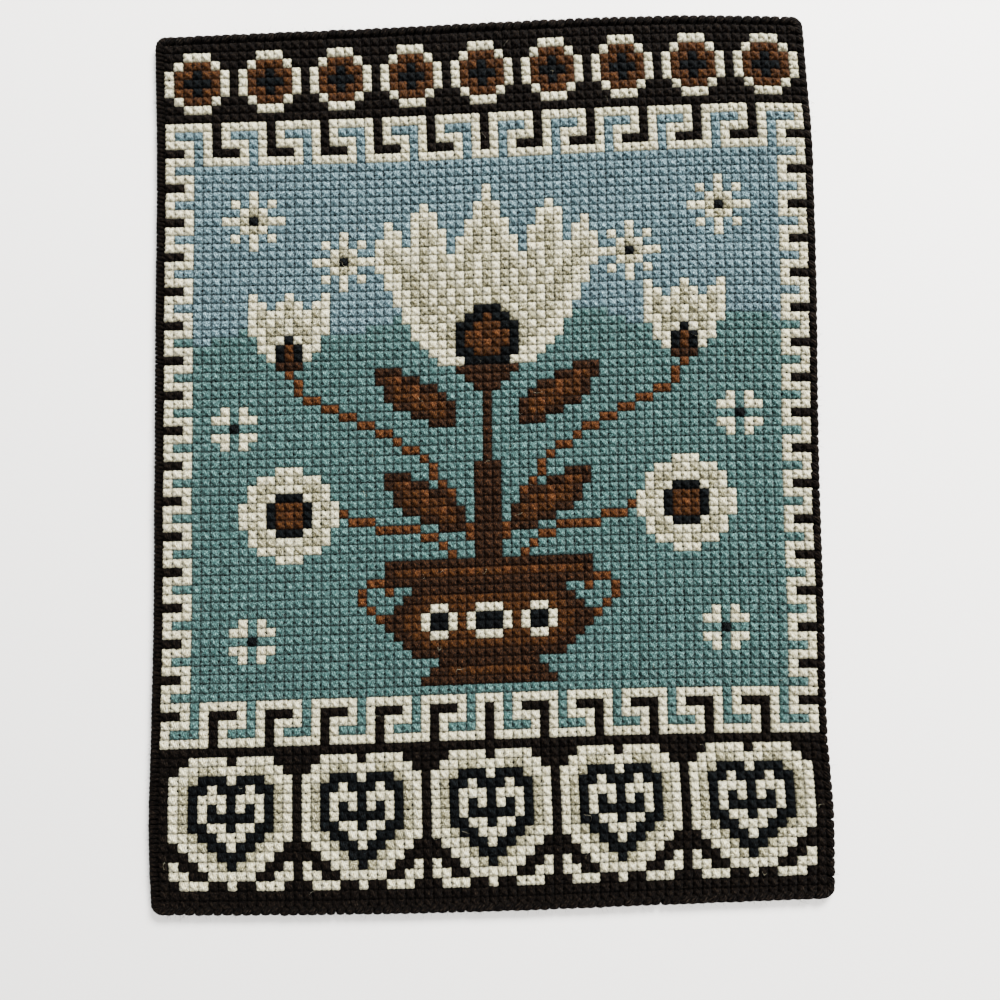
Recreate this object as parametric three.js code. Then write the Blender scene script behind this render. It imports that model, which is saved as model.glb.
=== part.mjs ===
// Cross-stitch wall hanging, worked in thick wool on canvas, lying face up on a flat surface.
// Units are millimetres. +X runs to the picture's right, +Y to its top and +Z up off the surface.
// The origin is under the middle of the piece, on the surface.
//
// Every solid is first shaped flat, in the rectangle that the piece was worked to, and then laid:
// lay() carries a flat point to its place on the slightly skewed, wavy sheet.

import * as THREE from 'three';

// The stitch grid.
const ROWS = 98;
const FIRST_ROW_LINE = -0.05;      // grid row at the top edge: the fold takes a little of the outer rows
const LAST_ROW_LINE = 98.6;        // grid row at the bottom edge

// The worked piece, flat.
const FLAT_WIDTH = 434;
const FLAT_HEIGHT = 579;
const PANEL_THICKNESS = 4.6;       // canvas with wool on both faces
const FURROW_DEPTH = 0.9;          // between one row of stitches and the next
const CREST_START = 0.24;          // a row of stitches is at its full height from this share of it
const CREST_END = 0.76;            // to this one
const RIM_SHOULDER = 0.9;          // how far the face drops where it meets the edging
const CORNER_RADIUS = 8;

// The whipped wool edging.
const EDGING_WIDTH = 4.2;          // as seen from above
const EDGING_HEIGHT = 5.0;
const EDGING_SIDES = 10;           // corners of its rounded section
const SECTION_OUT_POWER = 0.6;     // under 1 the section is squarer than an oval
const SECTION_RISE_POWER = 0.7;
const EDGING_STEP = 15;            // length between two sections on the straight
const CORNER_STEPS = 3;            // sections on each half of a rounded corner
const SEAM_GAP = 0.3;

// Lines of points across the panel, from side to side.
const INNER_COLUMNS = 10;
const RIM_COLUMN = 0.008;          // the outermost strip on each side, as a share of the width
const LEAST_LINE_GAP = 0.4;        // from an end of the face to its next line of points
const BACK_ROW_STEP = 4;           // the plain back has a line of points every fourth row
const BACK_END_LINES = [0, 1, 2, 4];  // and more of them at its ends, where the corners are round

const WOOL_FACE = new THREE.MeshStandardMaterial({ color: 0x5f9396, roughness: 0.95, metalness: 0 });
const WOOL_EDGING = new THREE.MeshStandardMaterial({ color: 0x1d1613, roughness: 0.95, metalness: 0 });

// Where the two long edges lie, from the top corners to the bottom ones.
const SIDE_EDGES = [
  { y: 286, left: -214.6, right: 218.6 },
  { y: 200, left: -213.9, right: 221.5 },
  { y: 100, left: -215.4, right: 220.2 },
  { y: 0, left: -216.6, right: 217.0 },
  { y: -100, left: -217.8, right: 215.5 },
  { y: -185, left: -220.1, right: 214.1 },
  { y: -235, left: -221.6, right: 216.0 },
  { y: -289, left: -220.0, right: 214.2 },
];

// Where the two short edges lie, from the left corners to the right ones.
const END_EDGES = [
  { x: -217, top: 285.0, bottom: -288.2 },
  { x: -140, top: 286.5, bottom: -290.2 },
  { x: -60, top: 288.0, bottom: -291.3 },
  { x: 20, top: 290.2, bottom: -291.2 },
  { x: 90, top: 291.4, bottom: -290.3 },
  { x: 160, top: 290.8, bottom: -289.4 },
  { x: 217, top: 288.0, bottom: -288.8 },
];

// Soft ripples that lift the sheet off the surface: half length, half width, turn and rise.
const RIPPLES = [
  { x: -10, y: 231, length: 205, width: 30, turn: 0.6, rise: 1.7 },   // under the top border
  { x: 192, y: 216, length: 62, width: 40, turn: -38, rise: 2.0 },    // top right corner
  { x: -128, y: 84, length: 100, width: 36, turn: -7, rise: 1.8 },    // left, upper middle
  { x: -172, y: -22, length: 74, width: 34, turn: 16, rise: 1.5 },    // left, middle
  { x: 150, y: 112, length: 92, width: 40, turn: 5, rise: 1.7 },      // right, upper middle
  { x: 66, y: -222, length: 120, width: 30, turn: 2, rise: 1.1 },     // across the bottom border
  { x: 194, y: -120, length: 40, width: 60, turn: 8, rise: 1.2 },     // right side
];

// Shares of the way across at which a line has its points.
const COLUMN_SHARES = [0];
for (let column = 0; column <= INNER_COLUMNS; column += 1) {
  COLUMN_SHARES.push(THREE.MathUtils.lerp(RIM_COLUMN, 1 - RIM_COLUMN, column / INNER_COLUMNS));
}
COLUMN_SHARES.push(1);
const LAST_COLUMN = COLUMN_SHARES.length - 1;

// A smooth curve through one column of a table, against another column.
function smoothEdge(rows, along, across) {
  const sorted = [...rows].sort((a, b) => a[along] - b[along]);
  const places = sorted.map((row) => row[along]);
  const values = sorted.map((row) => row[across]);
  const curve = new THREE.CubicInterpolant(places, values, 1);
  return (place) => curve.evaluate(THREE.MathUtils.clamp(place, places[0], places.at(-1)))[0];
}

const leftEdge = smoothEdge(SIDE_EDGES, 'y', 'left');
const rightEdge = smoothEdge(SIDE_EDGES, 'y', 'right');
const topEdge = smoothEdge(END_EDGES, 'x', 'top');
const bottomEdge = smoothEdge(END_EDGES, 'x', 'bottom');

const topRow = SIDE_EDGES[0];
const bottomRow = SIDE_EDGES.at(-1);
const CORNERS = {
  topLeft: new THREE.Vector2(topRow.left, topEdge(topRow.left)),
  topRight: new THREE.Vector2(topRow.right, topEdge(topRow.right)),
  bottomLeft: new THREE.Vector2(bottomRow.left, bottomEdge(bottomRow.left)),
  bottomRight: new THREE.Vector2(bottomRow.right, bottomEdge(bottomRow.right)),
};

// A point on the outline of the sheet, at a share of the way along one of its edges.
function onLeft(share) {
  const y = THREE.MathUtils.lerp(CORNERS.topLeft.y, CORNERS.bottomLeft.y, share);
  return new THREE.Vector2(leftEdge(y), y);
}

function onRight(share) {
  const y = THREE.MathUtils.lerp(CORNERS.topRight.y, CORNERS.bottomRight.y, share);
  return new THREE.Vector2(rightEdge(y), y);
}

function onTop(share) {
  const x = THREE.MathUtils.lerp(CORNERS.topLeft.x, CORNERS.topRight.x, share);
  return new THREE.Vector2(x, topEdge(x));
}

function onBottom(share) {
  const x = THREE.MathUtils.lerp(CORNERS.bottomLeft.x, CORNERS.bottomRight.x, share);
  return new THREE.Vector2(x, bottomEdge(x));
}

// One ripple's soft profile: 1 on its crest and 0 from its rim outwards.
function swell(reach) {
  return Math.abs(reach) < 1 ? Math.cos(reach * Math.PI / 2) ** 2 : 0;
}

function rippleLift(x, y) {
  let lift = 0;
  for (const ripple of RIPPLES) {
    const turn = THREE.MathUtils.degToRad(ripple.turn);
    const dx = x - ripple.x;
    const dy = y - ripple.y;
    const alongCrest = dx * Math.cos(turn) + dy * Math.sin(turn);
    const acrossCrest = dy * Math.cos(turn) - dx * Math.sin(turn);
    lift += ripple.rise * swell(alongCrest / ripple.length) * swell(acrossCrest / ripple.width);
  }
  return lift;
}

// Lays a flat point: across from the left edge, down from the top edge, and up off the surface.
function lay(across, down, up) {
  const u = across / FLAT_WIDTH;
  const v = down / FLAT_HEIGHT;
  const place = new THREE.Vector2();
  place.addScaledVector(onLeft(v), 1 - u);
  place.addScaledVector(onRight(v), u);
  place.addScaledVector(onTop(u), 1 - v);
  place.addScaledVector(onBottom(u), v);
  place.addScaledVector(CORNERS.topLeft, -(1 - u) * (1 - v));
  place.addScaledVector(CORNERS.topRight, -u * (1 - v));
  place.addScaledVector(CORNERS.bottomLeft, -(1 - u) * v);
  place.addScaledVector(CORNERS.bottomRight, -u * v);
  return new THREE.Vector3(place.x, place.y, up + rippleLift(place.x, place.y));
}

// Flat distance from the top edge to a line of the stitch grid.
function downToRow(row) {
  return FLAT_HEIGHT * (row - FIRST_ROW_LINE) / (LAST_ROW_LINE - FIRST_ROW_LINE);
}

// A closed body from shared points and its triangles.
class Body {
  constructor() {
    this.points = [];
    this.faces = [];
  }

  point(across, down, up) {
    this.points.push(lay(across, down, up));
    return this.points.length - 1;
  }

  triangle(a, b, c) {
    this.faces.push(a, b, c);
  }

  quad(a, b, c, d) {
    this.triangle(a, b, c);
    this.triangle(a, c, d);
  }

  mesh(name, material) {
    const geometry = new THREE.BufferGeometry();
    geometry.setFromPoints(this.points);
    geometry.setIndex(this.faces);
    geometry.computeVertexNormals();
    const mesh = new THREE.Mesh(geometry, material);
    mesh.name = name;
    return mesh;
  }
}

// How far a rounded corner draws the side edge in, at a distance from the end edge.
function cornerDraw(distance, radius) {
  if (distance >= radius) {
    return 0;
  }
  const rise = radius - Math.max(distance, 0);
  return radius - Math.sqrt(radius ** 2 - rise ** 2);
}

// One line of points across the panel, from its left rim to its right rim.
function panelLine(body, down, up, rimUp) {
  const inset = EDGING_WIDTH + SEAM_GAP;
  const toEnd = Math.min(down, FLAT_HEIGHT - down) - inset;
  const draw = inset + cornerDraw(toEnd, CORNER_RADIUS - EDGING_WIDTH);
  const line = COLUMN_SHARES.map((share, column) => {
    const across = THREE.MathUtils.lerp(draw, FLAT_WIDTH - draw, share);
    const atRim = column === 0 || column === LAST_COLUMN;
    return body.point(across, down, atRim ? rimUp : up);
  });
  return { down, line };
}

// A wall between the face's many rim points and the back's few, from the top end to the bottom one.
function sideWall(body, faceLines, backLines, column, outwardLeft) {
  let face = 0;
  let back = 0;
  const corner = (lines, index) => lines[index].line[column];
  const add = (a, b, c) => (outwardLeft ? body.triangle(a, b, c) : body.triangle(a, c, b));
  while (face < faceLines.length - 1 || back < backLines.length - 1) {
    const faceNext = faceLines[face + 1]?.down ?? Infinity;
    const backNext = backLines[back + 1]?.down ?? Infinity;
    if (faceNext <= backNext) {
      add(corner(faceLines, face), corner(backLines, back), corner(faceLines, face + 1));
      face += 1;
    } else {
      add(corner(faceLines, face), corner(backLines, back), corner(backLines, back + 1));
      back += 1;
    }
  }
}

// The stitched canvas: a soft slab whose face has a furrow between one row of stitches and the next.
function stitchedPanel() {
  const body = new Body();
  const inset = EDGING_WIDTH + SEAM_GAP;
  const firstDown = inset;
  const lastDown = FLAT_HEIGHT - inset;
  const crest = PANEL_THICKNESS;
  const furrow = PANEL_THICKNESS - FURROW_DEPTH;
  const rim = PANEL_THICKNESS - RIM_SHOULDER;
  const rowProfile = [
    { share: 0, up: furrow },
    { share: CREST_START, up: crest },
    { share: CREST_END, up: crest },
  ];

  const faceLines = [panelLine(body, firstDown, rim, rim)];
  for (let row = 0; row < ROWS; row += 1) {
    for (const { share, up } of rowProfile) {
      const down = downToRow(row + share);
      if (down > firstDown + LEAST_LINE_GAP && down < lastDown - LEAST_LINE_GAP) {
        faceLines.push(panelLine(body, down, up, Math.min(up, rim)));
      }
    }
  }
  faceLines.push(panelLine(body, lastDown, rim, rim));

  const topDowns = BACK_END_LINES.map((step) => firstDown + step);
  const innerDowns = [];
  for (let row = BACK_ROW_STEP; row < ROWS - 1; row += BACK_ROW_STEP) {
    innerDowns.push(downToRow(row));
  }
  const bottomDowns = [...topDowns].reverse().map((down) => FLAT_HEIGHT - down);
  const backDowns = [...topDowns, ...innerDowns, ...bottomDowns];
  const backLines = backDowns.map((down) => panelLine(body, down, 0, 0));

  for (const [lines, faceUp] of [[faceLines, true], [backLines, false]]) {
    for (let index = 0; index < lines.length - 1; index += 1) {
      const upper = lines[index].line;
      const lower = lines[index + 1].line;
      for (let column = 0; column < LAST_COLUMN; column += 1) {
        const loop = [upper[column], lower[column], lower[column + 1], upper[column + 1]];
        body.quad(...(faceUp ? loop : loop.reverse()));
      }
    }
  }

  for (let column = 0; column < LAST_COLUMN; column += 1) {
    const faceTop = faceLines[0].line;
    const backTop = backLines[0].line;
    body.quad(faceTop[column], faceTop[column + 1], backTop[column + 1], backTop[column]);
    const faceEnd = faceLines.at(-1).line;
    const backEnd = backLines.at(-1).line;
    body.quad(faceEnd[column], backEnd[column], backEnd[column + 1], faceEnd[column + 1]);
  }
  sideWall(body, faceLines, backLines, 0, true);
  sideWall(body, faceLines, backLines, LAST_COLUMN, false);
  return body.mesh('stitched_panel', WOOL_FACE);
}

// The rounded section of the edging: out from its middle line, and up from the surface.
function edgingSection() {
  const section = [];
  for (let corner = 0; corner < EDGING_SIDES; corner += 1) {
    const angle = (corner + 0.5) * 2 * Math.PI / EDGING_SIDES;
    const cosine = Math.cos(angle);
    const sine = Math.sin(angle);
    const out = Math.sign(cosine) * Math.abs(cosine) ** SECTION_OUT_POWER;
    const rise = Math.sign(sine) * Math.abs(sine) ** SECTION_RISE_POWER;
    section.push({ out: out * EDGING_WIDTH / 2, up: rise * EDGING_HEIGHT / 2 });
  }
  const lowest = Math.min(...section.map((corner) => corner.up));
  return section.map((corner) => ({ out: corner.out, up: corner.up - lowest }));
}

// The middle line of the edging along one side of a flat rectangle, from mid corner to mid corner.
function edgingPath(length) {
  const radius = CORNER_RADIUS - EDGING_WIDTH / 2;
  const gapTurn = SEAM_GAP / 2 / radius;
  const path = [];
  for (let step = 0; step < CORNER_STEPS; step += 1) {
    const turn = THREE.MathUtils.lerp(Math.PI / 4 + gapTurn, Math.PI / 2, step / CORNER_STEPS);
    const along = CORNER_RADIUS - radius * Math.cos(turn);
    const depth = CORNER_RADIUS - radius * Math.sin(turn);
    path.push({ along, depth, turn });
  }
  const straight = length - 2 * CORNER_RADIUS;
  const steps = Math.round(straight / EDGING_STEP);
  for (let step = 0; step <= steps; step += 1) {
    const along = CORNER_RADIUS + straight * step / steps;
    path.push({ along, depth: CORNER_RADIUS - radius, turn: Math.PI / 2 });
  }
  for (let step = CORNER_STEPS - 1; step >= 0; step -= 1) {
    const start = path[step];
    path.push({ along: length - start.along, depth: start.depth, turn: Math.PI - start.turn });
  }
  return path;
}

// One side of the edging. toFlat turns a place along the side, and its depth, into a flat point.
function edgingStrip(name, length, toFlat) {
  const body = new Body();
  const section = edgingSection();
  const rings = edgingPath(length).map(({ along, depth, turn }) => section.map(({ out, up }) => {
    const [across, down] = toFlat(along - out * Math.cos(turn), depth - out * Math.sin(turn));
    return body.point(across, down, up);
  }));
  for (let index = 0; index < rings.length - 1; index += 1) {
    for (let corner = 0; corner < EDGING_SIDES; corner += 1) {
      const next = (corner + 1) % EDGING_SIDES;
      body.quad(rings[index][corner], rings[index][next], rings[index + 1][next], rings[index + 1][corner]);
    }
  }
  const first = rings[0];
  const last = rings.at(-1);
  for (let corner = 1; corner < EDGING_SIDES - 1; corner += 1) {
    body.triangle(first[0], first[corner + 1], first[corner]);
    body.triangle(last[0], last[corner], last[corner + 1]);
  }
  return body.mesh(name, WOOL_EDGING);
}

// The four strips follow each other round the sheet, and each has its own way into the flat rectangle.
const hanging = new THREE.Group();
hanging.add(stitchedPanel());
const fromTop = (along, depth) => [along, depth];
const fromRight = (along, depth) => [FLAT_WIDTH - depth, along];
const fromBottom = (along, depth) => [FLAT_WIDTH - along, FLAT_HEIGHT - depth];
const fromLeft = (along, depth) => [depth, FLAT_HEIGHT - along];
hanging.add(edgingStrip('edging_top', FLAT_WIDTH, fromTop));
hanging.add(edgingStrip('edging_right', FLAT_HEIGHT, fromRight));
hanging.add(edgingStrip('edging_bottom', FLAT_WIDTH, fromBottom));
hanging.add(edgingStrip('edging_left', FLAT_HEIGHT, fromLeft));

// The origin goes under the middle of the finished piece.
const box = new THREE.Box3().setFromObject(hanging);
const middle = box.getCenter(new THREE.Vector3());
hanging.position.set(-middle.x, -middle.y, -box.min.z);
hanging.updateMatrixWorld(true);

export default hanging;
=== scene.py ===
# %% [markdown]
# # A wall hanging in thick cross stitch
#
# The real piece is an open canvas, worked all over in full crosses with one strand of thick wool, then
# folded at the edge and whipped round with the same dark wool. A picture of it could be faked with one
# flat sheet and an image, but then nothing stands up in low light and a close view falls apart. Here
# every cross is real geometry: two short lengths of yarn that cross, some 6,900 times over. They are
# made as arrays of numbers, a whole colour at once, so the script still takes only seconds.

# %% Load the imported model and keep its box
import math

import bpy
import numpy as np
from mathutils import Matrix, Vector


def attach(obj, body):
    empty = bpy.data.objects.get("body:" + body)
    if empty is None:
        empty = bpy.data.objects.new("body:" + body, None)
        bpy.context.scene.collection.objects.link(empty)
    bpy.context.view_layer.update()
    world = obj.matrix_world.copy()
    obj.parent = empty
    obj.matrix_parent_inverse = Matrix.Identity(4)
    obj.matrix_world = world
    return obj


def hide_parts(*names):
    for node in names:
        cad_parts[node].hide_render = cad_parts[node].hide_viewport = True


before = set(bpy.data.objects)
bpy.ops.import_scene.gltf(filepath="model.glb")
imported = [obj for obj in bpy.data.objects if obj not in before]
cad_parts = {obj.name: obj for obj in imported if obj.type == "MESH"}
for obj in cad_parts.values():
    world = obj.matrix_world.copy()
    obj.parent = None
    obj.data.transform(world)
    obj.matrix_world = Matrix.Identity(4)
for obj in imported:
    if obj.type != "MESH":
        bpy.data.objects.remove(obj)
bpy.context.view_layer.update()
MM = 0.001

# %% [markdown]
# ## The lie of the cloth
#
# A stitcher counts holes, so it is easiest to shape everything flat, in columns and rows, and to lay it
# down afterwards. `lay` does that: it takes distances across and down the flat rectangle and gives the
# place on the slightly skewed sheet, whose four edges wander by a few millimetres and whose middle
# rises in a few soft ripples. It is the same blend of four edge curves as in the solid model, so each
# piece made here lands on the solid that it replaces. The solid's rows are evenly spaced. On the real
# piece they are drawn a few millimetres in towards the middle, so here they slip by that much.

# %% Sizes of the worked piece
COLUMNS = 73
ROWS = 98
FLAT_WIDTH = 434 * MM
FLAT_HEIGHT = 579 * MM

# The grid lines at which the four edges fall: the fold takes a part of the outer rows and columns.
LEFT_LINE = 0.05
RIGHT_LINE = 72.82
TOP_LINE = -0.05
BOTTOM_LINE = 98.6

# Where the two long edges lie: y, left x and right x, in millimetres.
SIDE_EDGES = [
    (286, -214.6, 218.6),
    (200, -213.9, 221.5),
    (100, -215.4, 220.2),
    (0, -216.6, 217.0),
    (-100, -217.8, 215.5),
    (-185, -220.1, 214.1),
    (-235, -221.6, 216.0),
    (-289, -220.0, 214.2),
]

# Where the two short edges lie: x, top y and bottom y, in millimetres.
END_EDGES = [
    (-217, 285.0, -288.2),
    (-140, 286.5, -290.2),
    (-60, 288.0, -291.3),
    (20, 290.2, -291.2),
    (90, 291.4, -290.3),
    (160, 290.8, -289.4),
    (217, 288.0, -288.8),
]

# How the rows and columns are drawn in: distance down or across, and slip, in millimetres.
ROW_SLIPS = [(0, 0), (62, 3.7), (260, 0), (482, -4.1), (579, 0)]
COLUMN_SLIPS = [(0, 0), (24, 1.5), (217, 0), (410, -1.7), (434, 0)]
SLIP_AT_ENDS = 0.4        # share of its slip that a row has at its two ends
SLIP_AT_MIDDLE = 1.05     # and in its middle

# Soft ripples: x, y, half length, half width, turn in degrees, rise.
RIPPLES = [
    (-10, 231, 205, 30, 0.6, 1.7),
    (192, 216, 62, 40, -38, 2.0),
    (-128, 84, 100, 36, -7, 1.8),
    (-172, -22, 74, 34, 16, 1.5),
    (150, 112, 92, 40, 5, 1.7),
    (66, -222, 120, 30, 2, 1.1),
    (194, -120, 40, 60, 8, 1.2),
]


# %% Edge curves and ripples
def edge_curve(table, place, value):
    """A smooth curve through one column of a table against another: at each point it takes the mean
    slope of the two spans beside it."""
    rows = sorted((row[place] * MM, row[value] * MM) for row in table)
    places = np.array([row[0] for row in rows])
    values = np.array([row[1] for row in rows])
    spans = np.diff(places)
    secants = np.diff(values) / spans
    slopes = np.concatenate((secants[:1], (secants[1:] + secants[:-1]) / 2, secants[-1:]))

    def curve(at):
        at = np.clip(at, places[0], places[-1])
        span = np.clip(np.searchsorted(places, at) - 1, 0, len(spans) - 1)
        width = spans[span]
        t = (at - places[span]) / width
        start = (1 + 2 * t) * (1 - t) ** 2 * values[span]
        end = t ** 2 * (3 - 2 * t) * values[span + 1]
        bend = t * (1 - t) * ((1 - t) * slopes[span] - t * slopes[span + 1]) * width
        return start + end + bend

    return curve


left_edge = edge_curve(SIDE_EDGES, 0, 1)
right_edge = edge_curve(SIDE_EDGES, 0, 2)
top_edge = edge_curve(END_EDGES, 0, 1)
bottom_edge = edge_curve(END_EDGES, 0, 2)
row_slip = edge_curve(ROW_SLIPS, 0, 1)
column_slip = edge_curve(COLUMN_SLIPS, 0, 1)


def corner(row, value, end_edge):
    x = row[value] * MM
    return x, float(end_edge(x))


TOP_LEFT = corner(SIDE_EDGES[0], 1, top_edge)
TOP_RIGHT = corner(SIDE_EDGES[0], 2, top_edge)
BOTTOM_LEFT = corner(SIDE_EDGES[-1], 1, bottom_edge)
BOTTOM_RIGHT = corner(SIDE_EDGES[-1], 2, bottom_edge)


def swell(reach):
    return np.where(np.abs(reach) < 1, np.cos(reach * np.pi / 2) ** 2, 0)


def ripple_lift(x, y):
    lift = np.zeros_like(x)
    for middle_x, middle_y, half_length, half_width, degrees, rise in RIPPLES:
        turn = math.radians(degrees)
        dx = x - middle_x * MM
        dy = y - middle_y * MM
        along = dx * math.cos(turn) + dy * math.sin(turn)
        across = dy * math.cos(turn) - dx * math.sin(turn)
        lift += rise * MM * swell(along / (half_length * MM)) * swell(across / (half_width * MM))
    return lift


def blend(start, end, share):
    return start + (end - start) * share


def lay(across, down, up):
    """Carries flat distances, in metres, to places on the lying sheet."""
    middle_share = np.sin(np.pi * np.clip(across / FLAT_WIDTH, 0, 1))
    slip_share = blend(SLIP_AT_ENDS, SLIP_AT_MIDDLE, middle_share)
    u = (across + column_slip(across)) / FLAT_WIDTH
    v = (down + row_slip(down) * slip_share) / FLAT_HEIGHT
    left_y = blend(TOP_LEFT[1], BOTTOM_LEFT[1], v)
    right_y = blend(TOP_RIGHT[1], BOTTOM_RIGHT[1], v)
    top_x = blend(TOP_LEFT[0], TOP_RIGHT[0], u)
    bottom_x = blend(BOTTOM_LEFT[0], BOTTOM_RIGHT[0], u)
    x = blend(left_edge(left_y), right_edge(right_y), u) + blend(top_x, bottom_x, v)
    y = blend(left_y, right_y, u) + blend(top_edge(top_x), bottom_edge(bottom_x), v)
    for axis, place in ((0, x), (1, y)):
        top = blend(TOP_LEFT[axis], TOP_RIGHT[axis], u)
        bottom = blend(BOTTOM_LEFT[axis], BOTTOM_RIGHT[axis], u)
        place -= blend(top, bottom, v)
    return np.stack((x, y, up + ripple_lift(x, y)), axis=-1)


def across_at(column):
    return FLAT_WIDTH * (np.asarray(column) - LEFT_LINE) / (RIGHT_LINE - LEFT_LINE)


def down_at(row):
    return FLAT_HEIGHT * (np.asarray(row) - TOP_LINE) / (BOTTOM_LINE - TOP_LINE)


COLUMN_PITCH = FLAT_WIDTH / (RIGHT_LINE - LEFT_LINE)
ROW_PITCH = FLAT_HEIGHT / (BOTTOM_LINE - TOP_LINE)
print(f"one cross takes {COLUMN_PITCH / MM:.2f} x {ROW_PITCH / MM:.2f} mm")

# %% [markdown]
# ## The chart
#
# Cross stitch is worked from a chart with one letter for each cross. The borders are traditional and
# small, so each is charted once and then repeated: roundels, a key pattern mirrored about the
# middle, a toothed edge down each side, and scroll hearts along the bottom. The ground is sky blue
# above teal. The picture on it is a plain sampler design made for this model: an urn with one large
# bloom, two roses, two tulips and a few stars, the same on both halves.

# %% Wool letters and the border charts
# K near black, C cream, G pale grey, S sky blue, T teal, B dark brown, R rust, O orange brown,
# N blue black. A dot leaves what is there.
GROUND = "L"          # stands for sky or teal, whichever the row has

ROUNDEL = """
..CCC..
.CRRRC.
CRRNRRC
CRNNNRC
CRRNRRC
.CRRRC.
..CCC..
"""
KEY = """
CCCCCK
CLLLCK
CCCLCK
KKCLCK
CCCLCC
"""
TEETH = """
KKC
CCC
CLL
CCC
"""
SCROLL_HEART = """
..CCCC.
.CCGGCC
CCGNNNC
CGNNCNN
CGNCCCN
CGNCNCN
CGNCNNN
CGNNCCN
CCGNNCC
.CCGNNC
..CCGNN
C..CCGN
CC..CCC
.CCC..C
"""

# %% Charts of the picture, the left half of each to its middle line
BLOOM = """
............C
............C
.....C.....CG
....CCC....CG
.C..CGC...CCG
.CC.CGCC..CGC
CCC.CGGC.CCGC
CGCCCGCC.CGGC
CGGCCGCGCCGCG
CCGGCGCGCGGCG
.CCGGCGCGCGCG
.CCGGCGCGCGCG
..CCGGCGCGCGC
..CCGGCGCGCGC
...CCGGCGCGNN
...CCGCGCGNNR
....CCGCGNNRR
....CCCGGNROR
.....CCCGNRRO
......CCCNNRR
.......CCCNNN
.........BBBB
..........BBB
...........BB
"""
URN = """
...BBBBBBBBBBBB
...BRRORRORRORR
.OOBBBBBBBBBBBB
O..O..BBBBBBBBB
O....BBRRRRRRRR
.O..BBRRCCRRRCC
..OBBRRCNNCRCNN
...BBRRCNNCRCNN
....BBRRCCRRRCC
.....BBRRRRRRRR
......BBBBBBBBB
.........BBBBBB
........BBRRRRR
.......BBBBBBBB
"""
ROSE = """
....CC
..CCGC
.CGGCC
.CGCNN
CGCNRR
CCCNRO
CGCNRR
.CGCNN
.CGGCC
..CCGC
....CC
"""
TULIP = """
C...C
CC.CG
CGCCG
CGCGC
CCGGC
.CGCN
.CCNR
..CNR
...BB
"""
STAR = """
...C
.C.C
..CG
CCGN
..CG
.C.C
...C
"""
SPRIG = """
.C.
CC.
..N
CC.
.C.
"""
LEAF = """
BBB......
BROBB....
.BRROBB..
.BRRORRB.
..BBRRORB
....BBRRB
......BBB
"""

# %% Place the motifs on the grid
MIDDLE_COLUMN = COLUMNS // 2
FIELD_TOP = 15        # first row of the ground, under the upper key pattern
FIELD_BOTTOM = 76     # first row of the lower key pattern
HORIZON = 34          # the row where sky gives way to teal, give or take a stitch


def lines_of(motif):
    return motif.strip("\n").split("\n")


def mirrored(motif):
    """The whole motif from its left half, whose last letter is on the middle line."""
    return [line + line[-2::-1] for line in lines_of(motif)]


def horizon_at(column):
    return HORIZON + round(0.9 * math.sin(column * 0.37) + 0.7 * math.sin(column * 0.11 + 1))


def ground_at(column, row):
    return "S" if row < horizon_at(column) else "T"


def put(chart, lines, first_column, first_row):
    for row, line in enumerate(lines, first_row):
        for column, letter in enumerate(line, first_column):
            if letter == GROUND:
                letter = ground_at(column, row)
            if letter != ".":
                chart[row][column] = letter


def put_pair(chart, lines, first_column, first_row):
    """A motif on the left half of the chart, and its mirror image on the right half."""
    put(chart, lines, first_column, first_row)
    put(chart, [line[::-1] for line in lines], COLUMNS - first_column - len(lines[0]), first_row)


def stem(chart, letter, turns):
    """A line of crosses through a few turning points, on both halves."""
    for (column, row), (next_column, next_row) in zip(turns, turns[1:]):
        steps = max(abs(next_column - column), abs(next_row - row))
        for step in range(steps + 1):
            at_column = round(blend(column, next_column, step / steps))
            at_row = round(blend(row, next_row, step / steps))
            put_pair(chart, [letter], at_column, at_row)


def work_borders(chart):
    for number in range(9):
        put(chart, lines_of(ROUNDEL), 1 + 8 * number, 2)
    half_key = [line * 6 for line in lines_of(KEY)]
    key = [line + line[-2::-1] for line in half_key]
    put(chart, key, 1, 10)
    put(chart, key[::-1], 1, FIELD_BOTTOM)
    teeth = lines_of(TEETH)
    for row in range(FIELD_TOP, FIELD_BOTTOM):
        put(chart, [GROUND * 65], 4, row)
        put_pair(chart, [teeth[(row - 13) % 4]], 1, row)
    for number in range(5):
        put(chart, mirrored(SCROLL_HEART), 2 + 14 * number, 82)


def work_picture(chart):
    stem(chart, "B", [(MIDDLE_COLUMN, 41), (MIDDLE_COLUMN, 60)])
    stem(chart, "B", [(MIDDLE_COLUMN - 1, 50), (MIDDLE_COLUMN - 1, 60)])
    stem(chart, "O", [(32, 60), (28, 57), (24, 57), (20, 55)])
    stem(chart, "O", [(34, 58), (30, 50), (25, 46), (20, 44), (15, 41), (14, 38)])
    put(chart, mirrored(URN), MIDDLE_COLUMN - 14, 61)
    put(chart, mirrored(BLOOM), MIDDLE_COLUMN - 12, 18)
    put_pair(chart, mirrored(ROSE), 9, 50)
    put_pair(chart, mirrored(TULIP), 10, 30)
    put_pair(chart, lines_of(LEAF), 24, 39)
    put_pair(chart, lines_of(LEAF), 25, 51)
    put_pair(chart, mirrored(STAR), 7, 18)
    put_pair(chart, mirrored(STAR), 17, 23)
    put_pair(chart, mirrored(SPRIG), 6, 43)
    put_pair(chart, mirrored(SPRIG), 8, 67)


chart = [["K"] * COLUMNS for _ in range(ROWS)]
work_borders(chart)
work_picture(chart)
letters = np.array(chart)
counts = {str(letter): int((letters == letter).sum()) for letter in np.unique(letters)}
print("crosses of each wool:", counts)
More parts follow.
